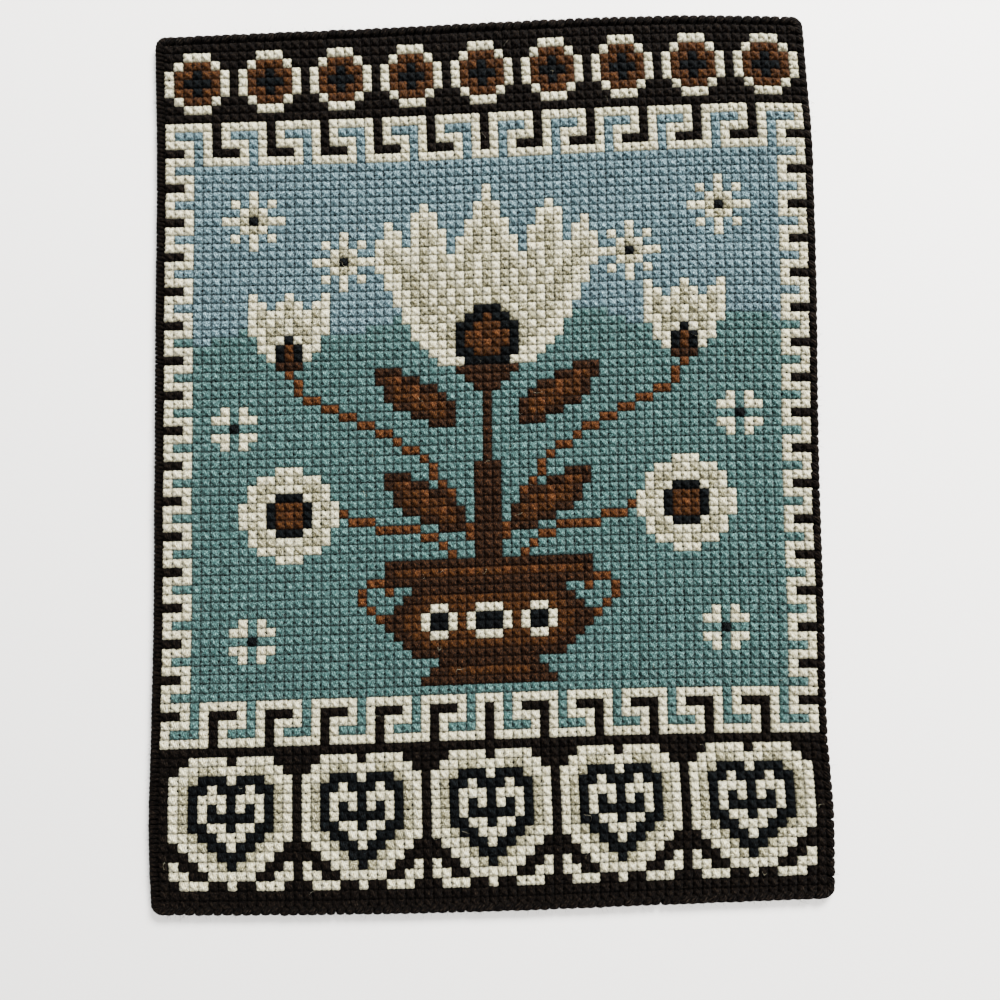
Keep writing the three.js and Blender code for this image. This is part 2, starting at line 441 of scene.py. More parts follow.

# %% [markdown]
# ## Wool
#
# A strand of this wool is several plies twisted loosely together, so its surface has slanting ridges
# with grooves between them, and fibres of three shades carded together. Each yarn made below
# carries a map called `yarn`: along it in millimetres, and once round it. The material draws ridges and
# fibres on that map, so they follow every leg of every cross without a single extra face, and paints
# shade into the grooves. Two numbers go with each point as well. Its `tone` makes one length a little
# lighter than the next. Its painted light is 1 on a crest and 0 deep in a gap, and sets painted shade:
# the colour is darkened where the yarn lies deep and on the underside of each length.

# %% A wool material
PLIES = 8                 # round the whole strand
PLY_LENGTH = 3.0          # along which a ply moves over by one place, in mm
RIDGE_HEIGHT = 0.9 * MM
FIBRE_HEIGHT = 0.8 * MM
FIBRE_RUN = 0.85          # fibre noise for each mm along the strand
FIBRE_PACK = 1.9          # and for each ply round it
# Painted shade: the colour is darkened between plies and deep between crosses, faster with depth.
GROOVE_SHADE = 0.35       # what is left of the colour between two plies
GAP_SHADE = 0.06          # and deep between two crosses
PAINTED_LIGHT_POWER = 1.5      # how fast the light goes with depth
TONE_SPREAD = 0.26        # between the darkest length and the lightest
TONE_SHIFT = 90           # gives each length a fibre noise of its own
DARK_FIBRES = (0.39, 0.48)        # noise over which dark fibres give way to the main shade
LIGHT_FIBRES = (0.53, 0.62)       # and the main shade to light ones


def add_math(tree, operation, first, second=None):
    node = tree.nodes.new("ShaderNodeMath")
    node.operation = operation
    for socket, value in zip(node.inputs, (first, second)):
        if value is None:
            continue
        if isinstance(value, (int, float)):
            socket.default_value = value
        else:
            tree.links.new(value, socket)
    return node.outputs["Value"]


def add_mix(tree, share, first, second, way="MIX"):
    node = tree.nodes.new("ShaderNodeMix")
    node.data_type = "RGBA"
    node.blend_type = way
    sockets = (node.inputs[0], node.inputs[6], node.inputs[7])
    for socket, value in zip(sockets, (share, first, second)):
        if isinstance(value, (int, float)):
            socket.default_value = value
        elif isinstance(value, tuple):
            socket.default_value = (*value, 1)
        else:
            tree.links.new(value, socket)
    return node.outputs[2]


def from_screen(code):
    """A colour as a screen shows it, as six hexadecimal digits, turned into linear light."""
    shown = [int(code[place:place + 2], 16) / 255 for place in (0, 2, 4)]
    return tuple(
        value / 12.92 if value <= 0.04045 else ((value + 0.055) / 1.055) ** 2.4
        for value in shown
    )


def add_range(tree, value, to_min, to_max, from_min=0.0, from_max=1.0):
    node = tree.nodes.new("ShaderNodeMapRange")
    tree.links.new(value, node.inputs["Value"])
    node.inputs["From Min"].default_value = from_min
    node.inputs["From Max"].default_value = from_max
    node.inputs["To Min"].default_value = to_min
    node.inputs["To Max"].default_value = to_max
    return node.outputs["Result"]


def add_attribute(tree, name):
    node = tree.nodes.new("ShaderNodeAttribute")
    node.attribute_name = name
    return node.outputs["Fac"]


def wool(
    name, dark, main, light,
    gloss=0.12, sheen=0.1, gap_shade=GAP_SHADE, groove_shade=GROOVE_SHADE,
):
    """Twisted wool carded from fibres of three shades, each given as a screen colour."""
    material = bpy.data.materials.new(name)
    material.use_nodes = True
    tree = material.node_tree
    surface = tree.nodes["Principled BSDF"]
    surface.inputs["Roughness"].default_value = 0.85
    surface.inputs["Specular IOR Level"].default_value = gloss
    surface.inputs["Sheen Weight"].default_value = sheen
    surface.inputs["Sheen Roughness"].default_value = 0.5

    place = tree.nodes.new("ShaderNodeUVMap")
    place.uv_map = "yarn"
    split = tree.nodes.new("ShaderNodeSeparateXYZ")
    tree.links.new(place.outputs["UV"], split.inputs["Vector"])
    tone = add_attribute(tree, "tone")
    painted_light = add_attribute(tree, "painted_light")

    along = split.outputs["X"]
    twist = add_math(tree, "MULTIPLY", along, 1 / PLY_LENGTH)
    around = add_math(tree, "ADD", add_math(tree, "MULTIPLY", split.outputs["Y"], PLIES), twist)
    wave = add_math(tree, "SINE", add_math(tree, "MULTIPLY", around, math.pi))
    ridge = add_math(tree, "ABSOLUTE", wave)

    fibre_place = tree.nodes.new("ShaderNodeCombineXYZ")
    tree.links.new(add_math(tree, "MULTIPLY", along, FIBRE_RUN), fibre_place.inputs["X"])
    tree.links.new(add_math(tree, "MULTIPLY", around, FIBRE_PACK), fibre_place.inputs["Y"])
    tree.links.new(add_math(tree, "MULTIPLY", tone, TONE_SHIFT), fibre_place.inputs["Z"])
    fibres = tree.nodes.new("ShaderNodeTexNoise")
    fibres.inputs["Scale"].default_value = 1
    fibres.inputs["Detail"].default_value = 4
    fibres.inputs["Roughness"].default_value = 0.6
    tree.links.new(fibre_place.outputs["Vector"], fibres.inputs["Vector"])

    not_dark = add_range(tree, fibres.outputs["Fac"], 0, 1, *DARK_FIBRES)
    lighter = add_range(tree, fibres.outputs["Fac"], 0, 1, *LIGHT_FIBRES)
    dyed = add_mix(tree, not_dark, from_screen(dark), from_screen(main))
    dyed = add_mix(tree, lighter, dyed, from_screen(light))

    # Painted shade: darker in the grooves between plies, and where the yarn lies deep or faces down.
    shade = add_range(tree, ridge, groove_shade, 1)
    lit = add_math(tree, "POWER", painted_light, PAINTED_LIGHT_POWER)
    shade = add_math(tree, "MULTIPLY", shade, add_range(tree, lit, gap_shade, 1))
    tone_shade = add_range(tree, tone, 1 - TONE_SPREAD / 2, 1 + TONE_SPREAD / 2)
    shade = add_math(tree, "MULTIPLY", shade, tone_shade)
    grey = tree.nodes.new("ShaderNodeCombineXYZ")
    for axis in "XYZ":
        tree.links.new(shade, grey.inputs[axis])
    shaded = add_mix(tree, 1.0, dyed, grey.outputs["Vector"], "MULTIPLY")
    tree.links.new(shaded, surface.inputs["Base Color"])

    ridges = tree.nodes.new("ShaderNodeBump")
    ridges.inputs["Distance"].default_value = RIDGE_HEIGHT
    tree.links.new(ridge, ridges.inputs["Height"])
    fine = tree.nodes.new("ShaderNodeBump")
    fine.inputs["Distance"].default_value = FIBRE_HEIGHT
    tree.links.new(fibres.outputs["Fac"], fine.inputs["Height"])
    tree.links.new(ridges.outputs["Normal"], fine.inputs["Normal"])
    tree.links.new(fine.outputs["Normal"], surface.inputs["Normal"])
    return material


# The pale wools get less painted shade in their grooves, since light passes through their plies. The
# dark ones are dull, and the painted shade in their gaps hardly darkens them further.
WOOLS = {
    "K": wool("near_black_wool", "020101", "060302", "261f18", 0.02, 0.01, 0.4),
    "C": wool("cream_wool", "665831", "fff6c2", "fffeec", 0.25, 0.25, 0.08, 0.55),
    "G": wool("pale_grey_wool", "423c25", "a49e76", "f8f3cf", groove_shade=0.45),
    "S": wool("sky_blue_wool", "1c3138", "527179", "a7ced9"),
    "T": wool("teal_wool", "082725", "2e5653", "7cafaa"),
    "B": wool("dark_brown_wool", "090401", "20130a", "523420", 0.03, 0.01, 0.4),
    "R": wool("rust_wool", "120701", "361d08", "623b17", 0.04, 0.02, 0.4),
    "O": wool("orange_brown_wool", "1e0d04", "46260f", "7a4c28", 0.04, 0.02, 0.4),
    "N": wool("blue_black_wool", "030303", "060708", "191f22", 0.02, 0.01, 0.4),
}
WOOL_NAMES = {
    "K": "near_black",
    "C": "cream",
    "G": "pale_grey",
    "S": "sky_blue",
    "T": "teal",
    "B": "dark_brown",
    "R": "rust",
    "O": "orange_brown",
    "N": "blue_black",
}
print("wools mixed:", len(WOOLS))

# %% [markdown]
# ## Making yarn from arrays
#
# A length of yarn is a row of rings. Blender could sweep a curve for each, but seven thousand curve
# objects are slow to make and slow to join. Instead the rings of all the lengths of one colour are
# worked out at once, as one array of shape (lengths, rings, sides, 3), and one mesh is filled from it.
# The last side closes the ring, and a flat cap closes each end, so every length is a sealed body. A
# second map, OFBake, gives every face a place of its own, so a material can be painted onto it.

# %% A yarn's section and its maps
BAKE_STRIP = (0.03, 0.80)      # where a length's sides lie in its own small square of the map
BAKE_EDGE = 0.04
BAKE_CAP = (0.90, 0.07)        # middle and radius of its end caps
START_SPREAD = 97              # mm of one long strand over which the lengths start


def ring_turns(sides):
    """Angles round a ring. The first and last corners are at the bottom, where the map's seam lies."""
    return -math.pi / 2 + math.pi / sides + np.arange(sides) * 2 * math.pi / sides


def bake_places(lengths, ring_count, sides):
    """Places in the bake map, one for each corner of each face, of shape (lengths, corners, 2)."""
    along = np.linspace(*BAKE_STRIP, ring_count)
    around = np.linspace(BAKE_EDGE, 1 - BAKE_EDGE, sides + 1)
    start, end = np.meshgrid(along[:-1], around[:-1], indexing="ij")
    far, high = np.meshgrid(along[1:], around[1:], indexing="ij")
    strip = np.stack((start, end, far, end, far, high, start, high), axis=-1).reshape(-1, 2)
    turns = ring_turns(sides)
    round_cap = BAKE_CAP[1] * np.stack((np.cos(turns), np.sin(turns)), axis=-1)
    low_cap = round_cap + (BAKE_CAP[0], 0.3)
    high_cap = round_cap[::-1] * (-1, 1) + (BAKE_CAP[0], 0.7)
    one = np.concatenate((strip, low_cap, high_cap))
    across = math.ceil(math.sqrt(lengths))
    number = np.arange(lengths)
    square = np.stack((number % across, number // across), axis=-1)
    return (square[:, None] + one) / across


# %% Fill a mesh with many lengths of yarn
def rings_of(middles, sideways, outward, half_width, half_height, sides):
    """Rings of yarn in flat distances. middles, sideways and outward end in three numbers."""
    turns = ring_turns(sides)
    beside = sideways[..., None, :] * (half_width[..., None] * np.cos(turns))[..., None]
    above = outward[..., None, :] * (half_height[..., None] * np.sin(turns))[..., None]
    return middles[..., None, :] + beside + above


def yarn_piece(name, rings, tones, ring_painted_light, wools, wool_of_length=None):
    """One object from rings of shape (lengths, rings, sides, 3), in flat distances."""
    lengths, ring_count, sides, _ = rings.shape
    turns = ring_turns(sides)
    # Painted light: each ring is lightest at its top and darkest underneath, then scaled along the
    # length.
    side_painted_light = (np.sin(turns) - np.sin(turns[0])) / (1 - np.sin(turns[0]))
    painted_light = ring_painted_light[:, None] * side_painted_light
    places = lay(rings[..., 0], rings[..., 1], rings[..., 2])
    corners = np.arange(ring_count * sides).reshape(ring_count, sides)
    beside = np.roll(corners, -1, axis=1)
    quads = np.stack((corners[:-1], corners[1:], beside[1:], beside[:-1]), axis=-1).reshape(-1)
    caps = np.concatenate((corners[0], corners[-1][::-1]))
    one = np.concatenate((quads, caps))
    starts = np.concatenate((np.arange(0, len(quads), 4), len(quads) + np.arange(0, 2 * sides, sides)))

    step = np.linalg.norm(np.diff(places.mean(axis=2), axis=1), axis=-1) / MM
    reach = np.concatenate((np.zeros((lengths, 1)), np.cumsum(step, axis=1)), axis=1)
    reach += tones[:, None] * START_SPREAD
    side_low = np.broadcast_to(np.arange(sides) / sides, (ring_count - 1, sides))
    side_high = side_low + 1 / sides
    around = np.stack((side_low, side_low, side_high, side_high), axis=-1).reshape(-1)
    around = np.concatenate((around, side_low[0], side_low[0][::-1]))
    ring_of_corner = one // sides
    yarn_map = np.empty((lengths, len(one), 2), np.float32)
    yarn_map[..., 0] = reach[:, ring_of_corner]
    yarn_map[..., 1] = around

    mesh = bpy.data.meshes.new(name)
    offsets = np.arange(lengths)[:, None]
    mesh.vertices.add(lengths * ring_count * sides)
    mesh.vertices.foreach_set("co", places.astype(np.float32).reshape(-1))
    mesh.loops.add(lengths * len(one))
    point_of_corner = one + offsets * ring_count * sides
    mesh.loops.foreach_set("vertex_index", point_of_corner.astype(np.int32).reshape(-1))
    mesh.polygons.add(lengths * len(starts))
    start_of_face = starts + offsets * len(one)
    mesh.polygons.foreach_set("loop_start", start_of_face.astype(np.int32).reshape(-1))
    mesh.update(calc_edges=True)
    mesh.shade_smooth()
    for material in wools:
        mesh.materials.append(material)
    if wool_of_length is not None:
        wool_of_face = np.repeat(wool_of_length, len(starts))
        mesh.polygons.foreach_set("material_index", wool_of_face.astype(np.int32))
    bake_map = bake_places(lengths, ring_count, sides)
    for layer_name, places_on_map in (("yarn", yarn_map), ("OFBake", bake_map)):
        layer = mesh.uv_layers.new(name=layer_name)
        layer.data.foreach_set("uv", places_on_map.astype(np.float32).reshape(-1))
    point_tones = np.repeat(tones, ring_count * sides)
    point_painted_light = np.tile(painted_light.reshape(-1), lengths)
    for attribute_name, values in (("tone", point_tones), ("painted_light", point_painted_light)):
        attribute = mesh.attributes.new(attribute_name, "FLOAT", "POINT")
        attribute.data.foreach_set("value", values.astype(np.float32))
    mesh.validate()

    piece = bpy.data.objects.new(name, mesh)
    bpy.context.scene.collection.objects.link(piece)
    triangles = lengths * ((ring_count - 1) * sides * 2 + 2 * (sides - 2))
    print(f"{name}: {lengths} lengths of yarn, {triangles} triangles")
    return piece


# %% [markdown]
# ## The crosses
#
# Each cross is two legs from corner to corner of its square. The stitcher works all the lower legs one
# way and all the upper legs the other, so that the light catches the whole face alike: here the upper
# leg runs from upper left to lower right. The wool is thicker than the square needs, so a leg swells in
# the middle, fills the square, and dives at both ends into a hole that it shares with three others.

# %% The shape of a leg
LEG_SHARES = np.array([-1, -0.8, -0.33, 0.33, 0.8, 1])             # along the diagonal from its middle
# Painted shade along a leg: near black at its ends, where it dives into a hole.
LEG_PAINTED_LIGHT = np.array([0.05, 0.72, 1, 1, 0.72, 0.05])
UPPER_HALF_WIDTH = np.array([0.6, 1.4, 1.95, 1.95, 1.4, 0.6]) * MM
UPPER_MIDDLE = np.array([1.3, 2.75, 3.5, 3.5, 2.75, 1.3]) * MM     # height of the leg's middle line
UPPER_HALF_HEIGHT = np.array([0.6, 1.1, 1.3, 1.3, 1.1, 0.6]) * MM
LOWER_HALF_WIDTH = np.array([0.6, 1.45, 2.15, 2.15, 1.45, 0.6]) * MM
LOWER_MIDDLE = np.array([1.3, 2.75, 2.95, 2.95, 2.75, 1.3]) * MM
LOWER_HALF_HEIGHT = np.array([0.6, 1.1, 1.25, 1.25, 1.1, 0.6]) * MM
LEG_SIDES = 5
HOLE_WANDER = 0.12 * MM
CREST_WANDER = 0.2 * MM
HEIGHT_WANDER = 0.12 * MM
MOST_SINK = 0.16 * MM     # so that only a leg's ends go through the canvas
WIDTH_SPREAD = 0.06
MOST_CROSSES = 1600       # in one piece


def legs(columns, rows, way, half_width, middle, half_height, random):
    """Rings for one leg of each cross. way is 1 for upper left to lower right and -1 for the other."""
    count = len(columns)
    half_across = COLUMN_PITCH / 2
    half_down = ROW_PITCH / 2 * way
    diagonal = math.hypot(half_across, half_down)
    bulge = 1 - LEG_SHARES ** 2
    own_end = (LEG_SHARES > 0).astype(int)
    sway = random.normal(0, CREST_WANDER, (count, 1)) * bulge
    slip_across = random.normal(0, HOLE_WANDER, (count, 2))[:, own_end] * (1 - bulge)
    slip_down = random.normal(0, HOLE_WANDER, (count, 2))[:, own_end] * (1 - bulge)
    across = across_at(columns + 0.5)[:, None] + half_across * LEG_SHARES
    down = down_at(rows + 0.5)[:, None] + half_down * LEG_SHARES
    across += slip_across - sway * half_down / diagonal
    down += slip_down + sway * half_across / diagonal
    rise = random.normal(0, HEIGHT_WANDER, (count, 1)).clip(-MOST_SINK, None)
    up = middle + rise * bulge
    middles = np.stack((across, down, up), axis=-1)
    sideways = np.broadcast_to(np.array([-half_down, half_across, 0]) / diagonal, middles.shape)
    outward = np.broadcast_to(np.array([0.0, 0.0, 1.0]), middles.shape)
    widths = half_width * (1 + random.normal(0, WIDTH_SPREAD, (count, 1)))
    heights = np.broadcast_to(half_height, widths.shape)
    return rings_of(middles, sideways, outward, widths, heights, LEG_SIDES)


# %% Work every cross, one colour at a time
# The top row and the outermost column on each side lie under the whipping and aren't worked.
for letter, material in WOOLS.items():
    rows, columns = np.nonzero(letters == letter)
    worked = (rows > 0) & (columns > 0) & (columns < COLUMNS - 1)
    rows, columns = rows[worked], columns[worked]
    batches = math.ceil(len(rows) / MOST_CROSSES)
    for number, chosen in enumerate(np.array_split(np.arange(len(rows)), batches), 1):
        random = np.random.default_rng(100 * ord(letter) + number)
        at = (columns[chosen], rows[chosen])
        lower = legs(*at, -1, LOWER_HALF_WIDTH, LOWER_MIDDLE, LOWER_HALF_HEIGHT, random)
        upper = legs(*at, 1, UPPER_HALF_WIDTH, UPPER_MIDDLE, UPPER_HALF_HEIGHT, random)
        tones = random.random(2 * len(chosen))
        label = f"crosses_{WOOL_NAMES[letter]}" + (f"_{number}" if batches > 1 else "")
        piece = yarn_piece(label, np.concatenate((lower, upper)), tones, LEG_PAINTED_LIGHT, [material])
        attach(piece, "root")
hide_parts("stitched_panel")

# %% [markdown]
# ## The whipped edge
#
# Round the edge the same dark wool is sewn over and over the folded canvas, one wrap for each hole, and
# two for each hole down the left side. Each wrap is a short length that comes out of the face, goes
# round the fold and dives into the back, leaning a little, which gives the edge its rope-like look.

# %% Wraps along one side
CORNER_RADIUS = 8 * MM
WRAP_REACH = 6.2 * MM             # how far in from the edge a wrap starts and ends
WRAP_END_HEIGHTS = (3.3 * MM, 1.5 * MM)
WRAP_TURNS = np.radians([60, 100, 140, 180, 220, 260, 300])
WRAP_MIDDLE = (3.2 * MM, 2.7 * MM)
WRAP_HALF_SIZE = (2.05 * MM, 1.5 * MM)
WRAP_HALF_THICKNESS = 1.15 * MM
WRAP_HALF_WIDTH = 0.53            # of a pitch, so that each wrap just presses on the next
WRAP_LEAN = 0.3                   # of a pitch, each way
WRAP_WANDER = 0.03                # of a pitch, along the edge
WRAP_REACH_SPREAD = 0.06
WRAP_WIDTH_SPREAD = 0.05
WRAP_TAPER = np.array([0.55, 0.9, 1, 1, 1, 1, 1, 0.9, 0.55])
# Painted shade along a wrap: darker at its ends, where it goes into the canvas.
WRAP_PAINTED_LIGHT = np.array([0.3, 0.8, 1, 1, 1, 1, 1, 0.8, 0.3])
WRAP_SIDES = 7


def wrap_profile():
    """Distance in from the edge and height of a wrap's middle line, and the way it runs."""
    inward = WRAP_MIDDLE[0] + WRAP_HALF_SIZE[0] * np.cos(WRAP_TURNS)
    height = WRAP_MIDDLE[1] + WRAP_HALF_SIZE[1] * np.sin(WRAP_TURNS)
    inward = np.concatenate(([WRAP_REACH], inward, [WRAP_REACH]))
    height = np.concatenate((WRAP_END_HEIGHTS[:1], height, WRAP_END_HEIGHTS[1:]))
    run = np.stack((np.gradient(inward), np.gradient(height)), axis=-1)
    run /= np.linalg.norm(run, axis=-1, keepdims=True)
    return inward, height, run


def wraps(name, node, length, pitch, to_flat, seed):
    """One side's wraps. to_flat turns a place along the side, and in from it, into flat distances."""
    random = np.random.default_rng(seed)
    inward, height, run = wrap_profile()
    arc = math.pi / 4 * CORNER_RADIUS
    whole = length - 2 * CORNER_RADIUS + 2 * arc
    count = round(whole / pitch)
    travel = (np.arange(count) + 0.5) / count * whole
    share = np.linspace(-1, 1, len(inward))
    wander = random.normal(0, WRAP_WANDER * pitch, (count, 1))
    travel = travel[:, None] + share * WRAP_LEAN * pitch + wander

    def frame_at(travel):
        """Place along, depth and turn of the edge after some travel along its rounded outline."""
        start = np.clip((arc - travel) / CORNER_RADIUS, 0, None)
        end = np.clip((travel - whole + arc) / CORNER_RADIUS, 0, None)
        turn = math.pi / 2 - start + end
        straight = np.clip(travel - arc, 0, length - 2 * CORNER_RADIUS)
        along = CORNER_RADIUS + straight - CORNER_RADIUS * np.cos(turn)
        depth = CORNER_RADIUS - CORNER_RADIUS * np.sin(turn)
        return along, depth, turn

    along, depth, turn = frame_at(travel)
    into = inward * (1 + random.normal(0, WRAP_REACH_SPREAD, (count, 1)))
    middles_along = along + into * np.cos(turn)
    middles_depth = depth + into * np.sin(turn)
    across, down = to_flat(middles_along, middles_depth)
    up = np.broadcast_to(height, across.shape)
    middles = np.stack((across, down, up), axis=-1)

    def direction(along_part, depth_part):
        zero = to_flat(0.0, 0.0)
        tip = to_flat(along_part, depth_part)
        return np.stack((tip[0] - zero[0], tip[1] - zero[1]), axis=-1)

    edgewise = direction(np.sin(turn), -np.cos(turn))
    inside = direction(np.cos(turn), np.sin(turn))
    sideways = np.concatenate((edgewise, np.zeros_like(edgewise[..., :1])), axis=-1)
    outward_up = np.broadcast_to(-run[:, 0][:, None], inside[..., :1].shape)
    outward = np.concatenate((inside * run[:, 1][:, None], outward_up), axis=-1)
    own_width = 1 + random.normal(0, WRAP_WIDTH_SPREAD, (count, 1))
    half_width = WRAP_TAPER * pitch * WRAP_HALF_WIDTH * own_width
    half_height = np.broadcast_to(WRAP_TAPER * WRAP_HALF_THICKNESS, across.shape)
    rings = rings_of(middles, sideways, outward, half_width, half_height, WRAP_SIDES)
    piece = yarn_piece(name, rings, random.random(count), WRAP_PAINTED_LIGHT, [WOOLS["K"]])
    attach(piece, "root")
    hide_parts(node)
    return piece


# %% Whip the four sides, each from its own corner clockwise
def from_top(along, depth):
    return along, depth


def from_right(along, depth):
    return FLAT_WIDTH - depth, along


def from_bottom(along, depth):
    return FLAT_WIDTH - along, FLAT_HEIGHT - depth


def from_left(along, depth):
    return depth, FLAT_HEIGHT - along


whippings = [
    wraps("whipping_top", "edging_top", FLAT_WIDTH, COLUMN_PITCH, from_top, 11),
    wraps("whipping_right", "edging_right", FLAT_HEIGHT, ROW_PITCH, from_right, 12),
    wraps("whipping_bottom", "edging_bottom", FLAT_WIDTH, COLUMN_PITCH, from_bottom, 13),
    wraps("whipping_left", "edging_left", FLAT_HEIGHT, ROW_PITCH / 2, from_left, 14),
]

# %% [markdown]
# ## The canvas and its hem
#
# Everything is worked on an open plain weave of stiff cotton. It is hardly seen from the front, only as
# a dark glint at the bottom of a gap, but the back shows its edge turned under all round, with the
# corners cut off and folded to a mitre. Five grids make the whole cloth: the flat middle, and for each
# edge a tight fold and a strip whose ends run at 45 degrees so that the four meet. A map called `weave`
# keeps where each part lay on the cloth before it was folded, and the threads are drawn on that, with
# the gaps between them painted dark as shade. Wool covers the cloth wherever it doesn't face down, and
# there the colour is painted near black, as the shade under the wool.

# %% Canvas material
THREAD = 1.47             # mm from one thread of the canvas to the next: four to a cross
# Painted shade under the wool: the cloth turns near black between these heights of its normal.
SHADE_UNDER_WOOL_FROM = (-0.8, -0.3)  # the normal's height where the dark starts and where it is full


def canvas_cotton():
    material = bpy.data.materials.new("canvas_cotton")
    material.use_nodes = True
    tree = material.node_tree
    surface = tree.nodes["Principled BSDF"]
    surface.inputs["Roughness"].default_value = 0.9
    surface.inputs["Specular IOR Level"].default_value = 0.1
    place = tree.nodes.new("ShaderNodeUVMap")
    place.uv_map = "weave"
    split = tree.nodes.new("ShaderNodeSeparateXYZ")
    tree.links.new(place.outputs["UV"], split.inputs["Vector"])
    warp = add_math(tree, "SINE", add_math(tree, "MULTIPLY", split.outputs["X"], math.pi / THREAD))
    weft = add_math(tree, "SINE", add_math(tree, "MULTIPLY", split.outputs["Y"], math.pi / THREAD))
    crossing = add_math(tree, "ABSOLUTE", add_math(tree, "MULTIPLY", warp, weft))
    slubs = tree.nodes.new("ShaderNodeTexNoise")
    slubs.inputs["Scale"].default_value = 0.7
    slubs.inputs["Detail"].default_value = 3
    tree.links.new(place.outputs["UV"], slubs.inputs["Vector"])
    thread = add_mix(tree, slubs.outputs["Fac"], from_screen("a58f6a"), from_screen("d8c7a2"))
    # Painted shade: the gaps between the threads are dark.
    shade = add_range(tree, crossing, 0.25, 1, 0, 0.55)
    cotton = add_mix(tree, shade, from_screen("3a3122"), thread)
    # Painted shade under the wool: near black wherever the cloth doesn't face down.
    facing = tree.nodes.new("ShaderNodeNewGeometry")
    upward = tree.nodes.new("ShaderNodeSeparateXYZ")
    tree.links.new(facing.outputs["True Normal"], upward.inputs["Vector"])
    covered_shade = add_range(tree, upward.outputs["Z"], 0, 1, *SHADE_UNDER_WOOL_FROM)
    cotton = add_mix(tree, covered_shade, cotton, from_screen("0c0a07"))
    tree.links.new(cotton, surface.inputs["Base Color"])
    relief = tree.nodes.new("ShaderNodeBump")
    relief.inputs["Distance"].default_value = 0.5 * MM
    tree.links.new(crossing, relief.inputs["Height"])
    tree.links.new(relief.outputs["Normal"], surface.inputs["Normal"])
    return material


# %% The cloth with its edge turned under
CANVAS_THICKNESS = 0.5 * MM
FOLD_RADIUS = 0.45 * MM
FOLD_INSET = 2.4 * MM             # where the flat middle ends and the fold starts
FOLD_MIDDLE = 1.45 * MM           # height of the fold's middle
HEM_WIDTH = 15.6 * MM             # from the fold to the cut edge
CANVAS_COLUMNS = 36
CANVAS_ROWS = 48
FOLD_TURNS = np.radians([90, 135, 180, 225, 270])


def hem_profile():
    """Distance in from the edge, height, and length of cloth used so far, from the fold's start."""
    inward = FOLD_INSET + FOLD_RADIUS * np.cos(FOLD_TURNS)
    height = FOLD_MIDDLE + FOLD_RADIUS * np.sin(FOLD_TURNS)
    inward = np.concatenate((inward, FOLD_INSET + HEM_WIDTH * np.array([0.1, 0.4, 0.7, 1])))
    height = np.concatenate((height, np.full(4, height[-1])))
    used = np.concatenate(([0], np.cumsum(np.hypot(np.diff(inward), np.diff(height)))))
    return inward, height, used


def grid_faces(rows, columns, first):
    number = first + np.arange(rows * columns).reshape(rows, columns)
    faces = np.stack((number[:-1, :-1], number[1:, :-1], number[1:, 1:], number[:-1, 1:]), axis=-1)
    return faces.reshape(-1, 4).tolist()


def round_corners(across, down):
    """Draws the square corners of the cloth in to the round of the whipping."""
    moved = []
    for place, size in ((across, FLAT_WIDTH), (down, FLAT_HEIGHT)):
        moved.append((place - size / 2, size / 2 - CORNER_RADIUS))
    beyond = [np.clip(np.abs(place) - straight, 0, None) for place, straight in moved]
    reach = np.hypot(*beyond)
    pull = np.divide(np.maximum(*beyond), reach, out=np.ones_like(reach), where=reach > 0)
    shifts = [np.sign(place) * part * (1 - pull) for (place, _), part in zip(moved, beyond)]
    return across - shifts[0], down - shifts[1]


